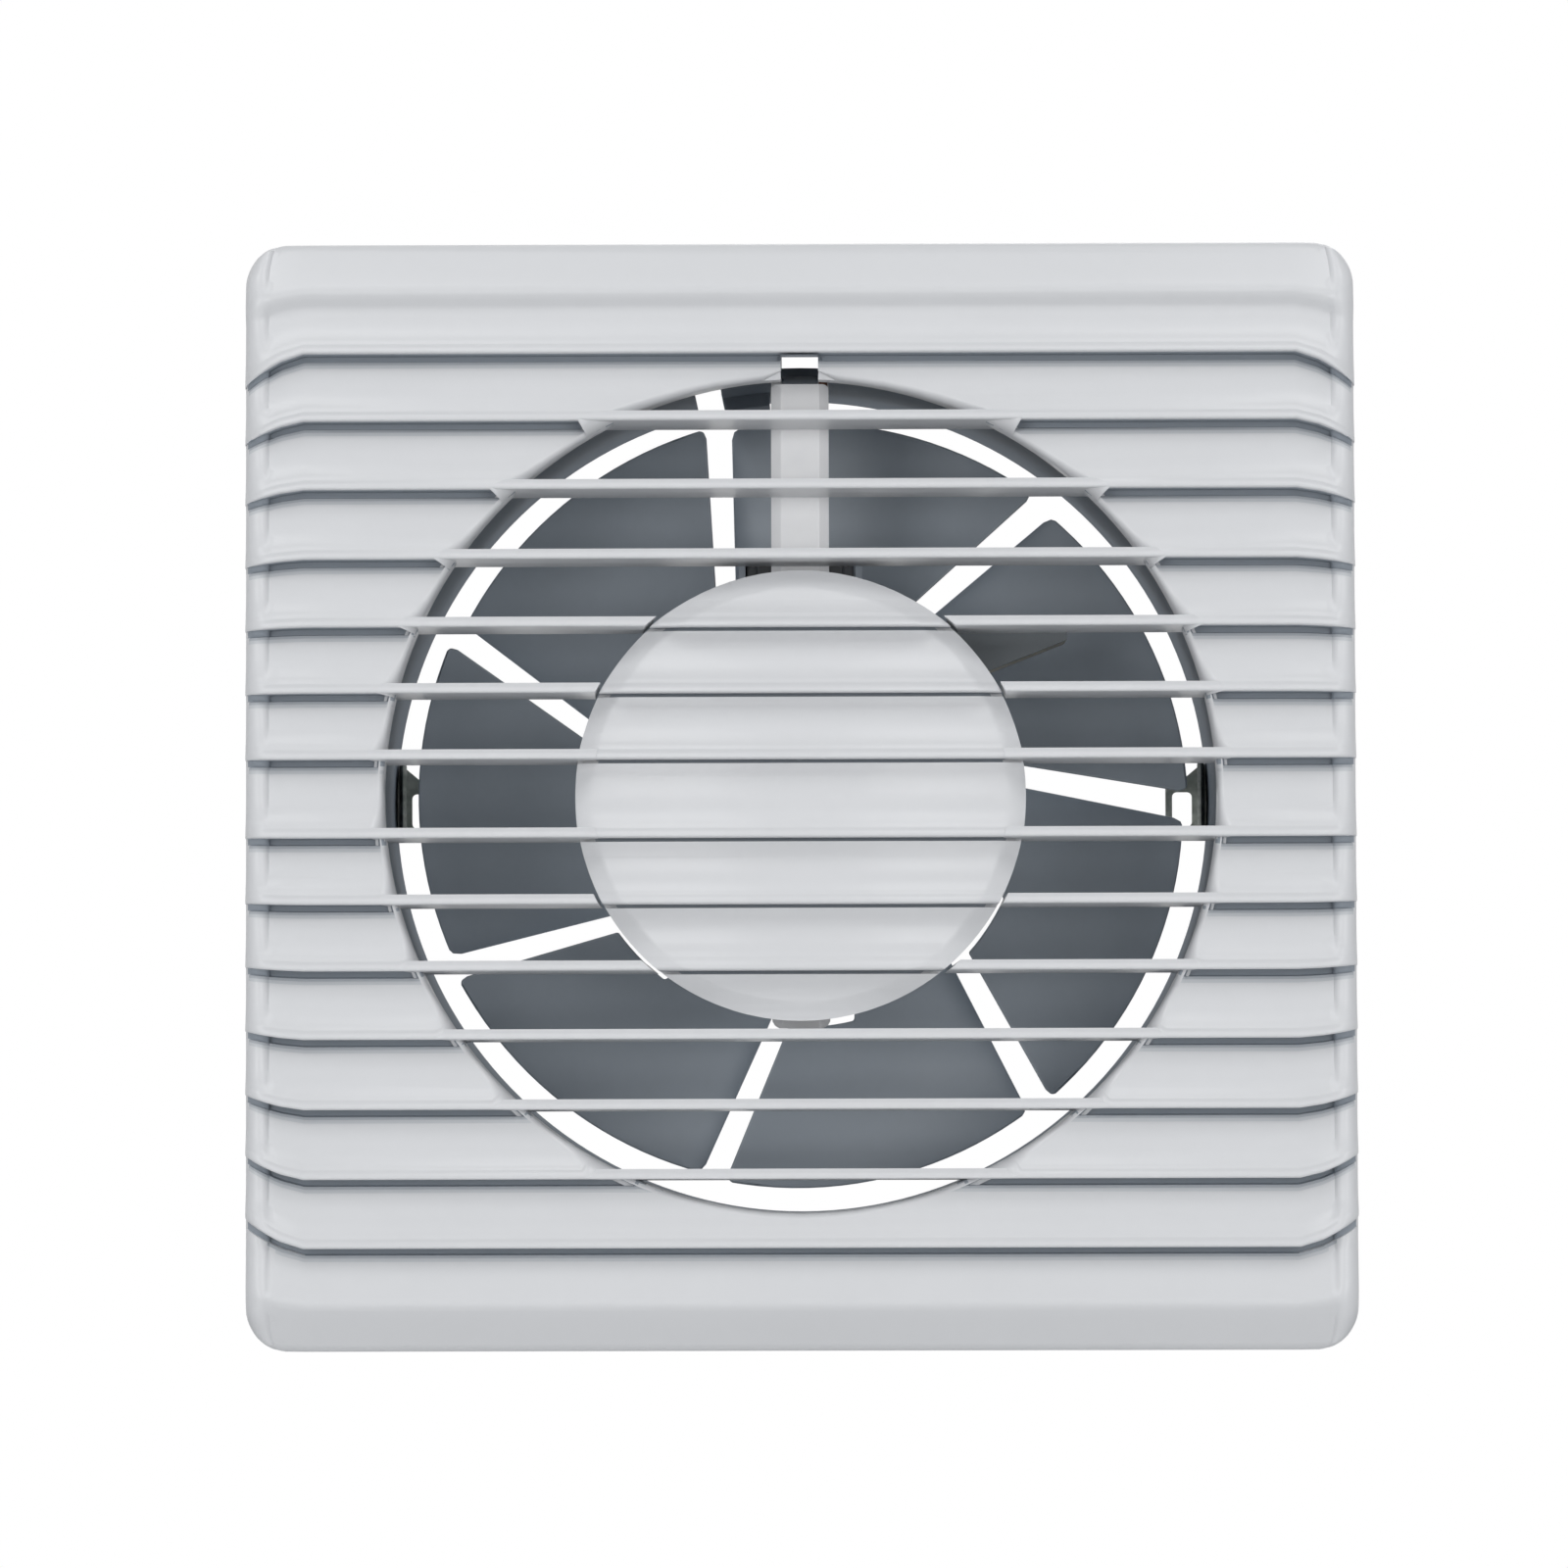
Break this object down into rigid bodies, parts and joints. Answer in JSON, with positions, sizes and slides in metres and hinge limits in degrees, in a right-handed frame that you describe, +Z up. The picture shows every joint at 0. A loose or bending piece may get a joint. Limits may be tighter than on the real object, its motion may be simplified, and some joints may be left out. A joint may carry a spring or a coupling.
{
  "type": "window exhaust fan",
  "caption": "Square louvred extractor fan for a window or wall: pull-off slatted cover, round duct, strut-mounted shaded-pole motor and a swept-blade impeller.",
  "frame": {"origin": "on the duct's axis, in the plane of the wall plate's back face", "axes": "+Z up, +Y from the room out through the wall along the duct, +X to the right of someone who looks at the louvred face"},
  "size_m": [0.158, 0.061, 0.158],
  "materials": {
    "cover_plastic": "glossy light grey-white moulded plastic",
    "arm_plastic": "satin light grey-white moulded plastic",
    "duct_plastic": "glossy mid grey moulded plastic",
    "blade_plastic": "glossy slate grey moulded plastic",
    "spring_steel": "galvanised spring strip",
    "core_steel": "stacked sheet steel, dark oxide faces",
    "bright_steel": "bright turned or plated steel",
    "cast_alloy": "plain die-cast light alloy",
    "bearing_bronze": "sintered bronze",
    "copper": "bare copper bar",
    "coil_tape": "varnished dark tape",
    "bobbin_plastic": "dark moulded plastic",
    "washer_fibre": "hard red-brown fibre",
    "brass": "turned brass",
    "terminal_plastic": "off-white moulded plastic",
    "live_insulation": "brown flexible insulation",
    "neutral_insulation": "blue flexible insulation"
  },
  "bodies": {
    "housing": {"housing": "duct_plastic", "motor_arm": "arm_plastic", "stator_core": "core_steel", "coil_bobbin": "bobbin_plastic", "coil_winding": "coil_tape", "shading_ring_upper": "copper", "shading_ring_lower": "copper", "front_bracket": "cast_alloy", "rear_bracket": "cast_alloy", "front_bearing": "bearing_bronze", "rear_bearing": "bearing_bronze", "motor_screw_left": "bright_steel", "motor_screw_right": "bright_steel", "motor_nut_left": "bright_steel", "motor_nut_right": "bright_steel", "side_clip_left": "spring_steel", "side_clip_right": "spring_steel", "terminal_block": "terminal_plastic", "terminal_screw_live": "brass", "terminal_screw_neutral": "brass", "cable_clamp": "terminal_plastic", "clamp_screw_left": "bright_steel", "clamp_screw_right": "bright_steel", "lead_live": "live_insulation", "lead_neutral": "neutral_insulation"},
    "fan": {"impeller": "blade_plastic", "impeller_clip": "bright_steel", "shaft": "bright_steel", "rotor": "bright_steel", "front_washer": "washer_fibre", "rear_washer": "washer_fibre"},
    "cover": {"front_cover": "cover_plastic"}
  },
  "joints": [
    {"name": "impeller_spin", "type": "hinge", "parent": "housing", "child": "fan", "pos_m": [0, 0, 0], "axis": [0, 1, 0], "continuous": true},
    {"name": "cover_pull", "type": "slide", "parent": "housing", "child": "cover", "axis": [0, -1, 0], "range_m": [0, 0.03]}
  ]
}
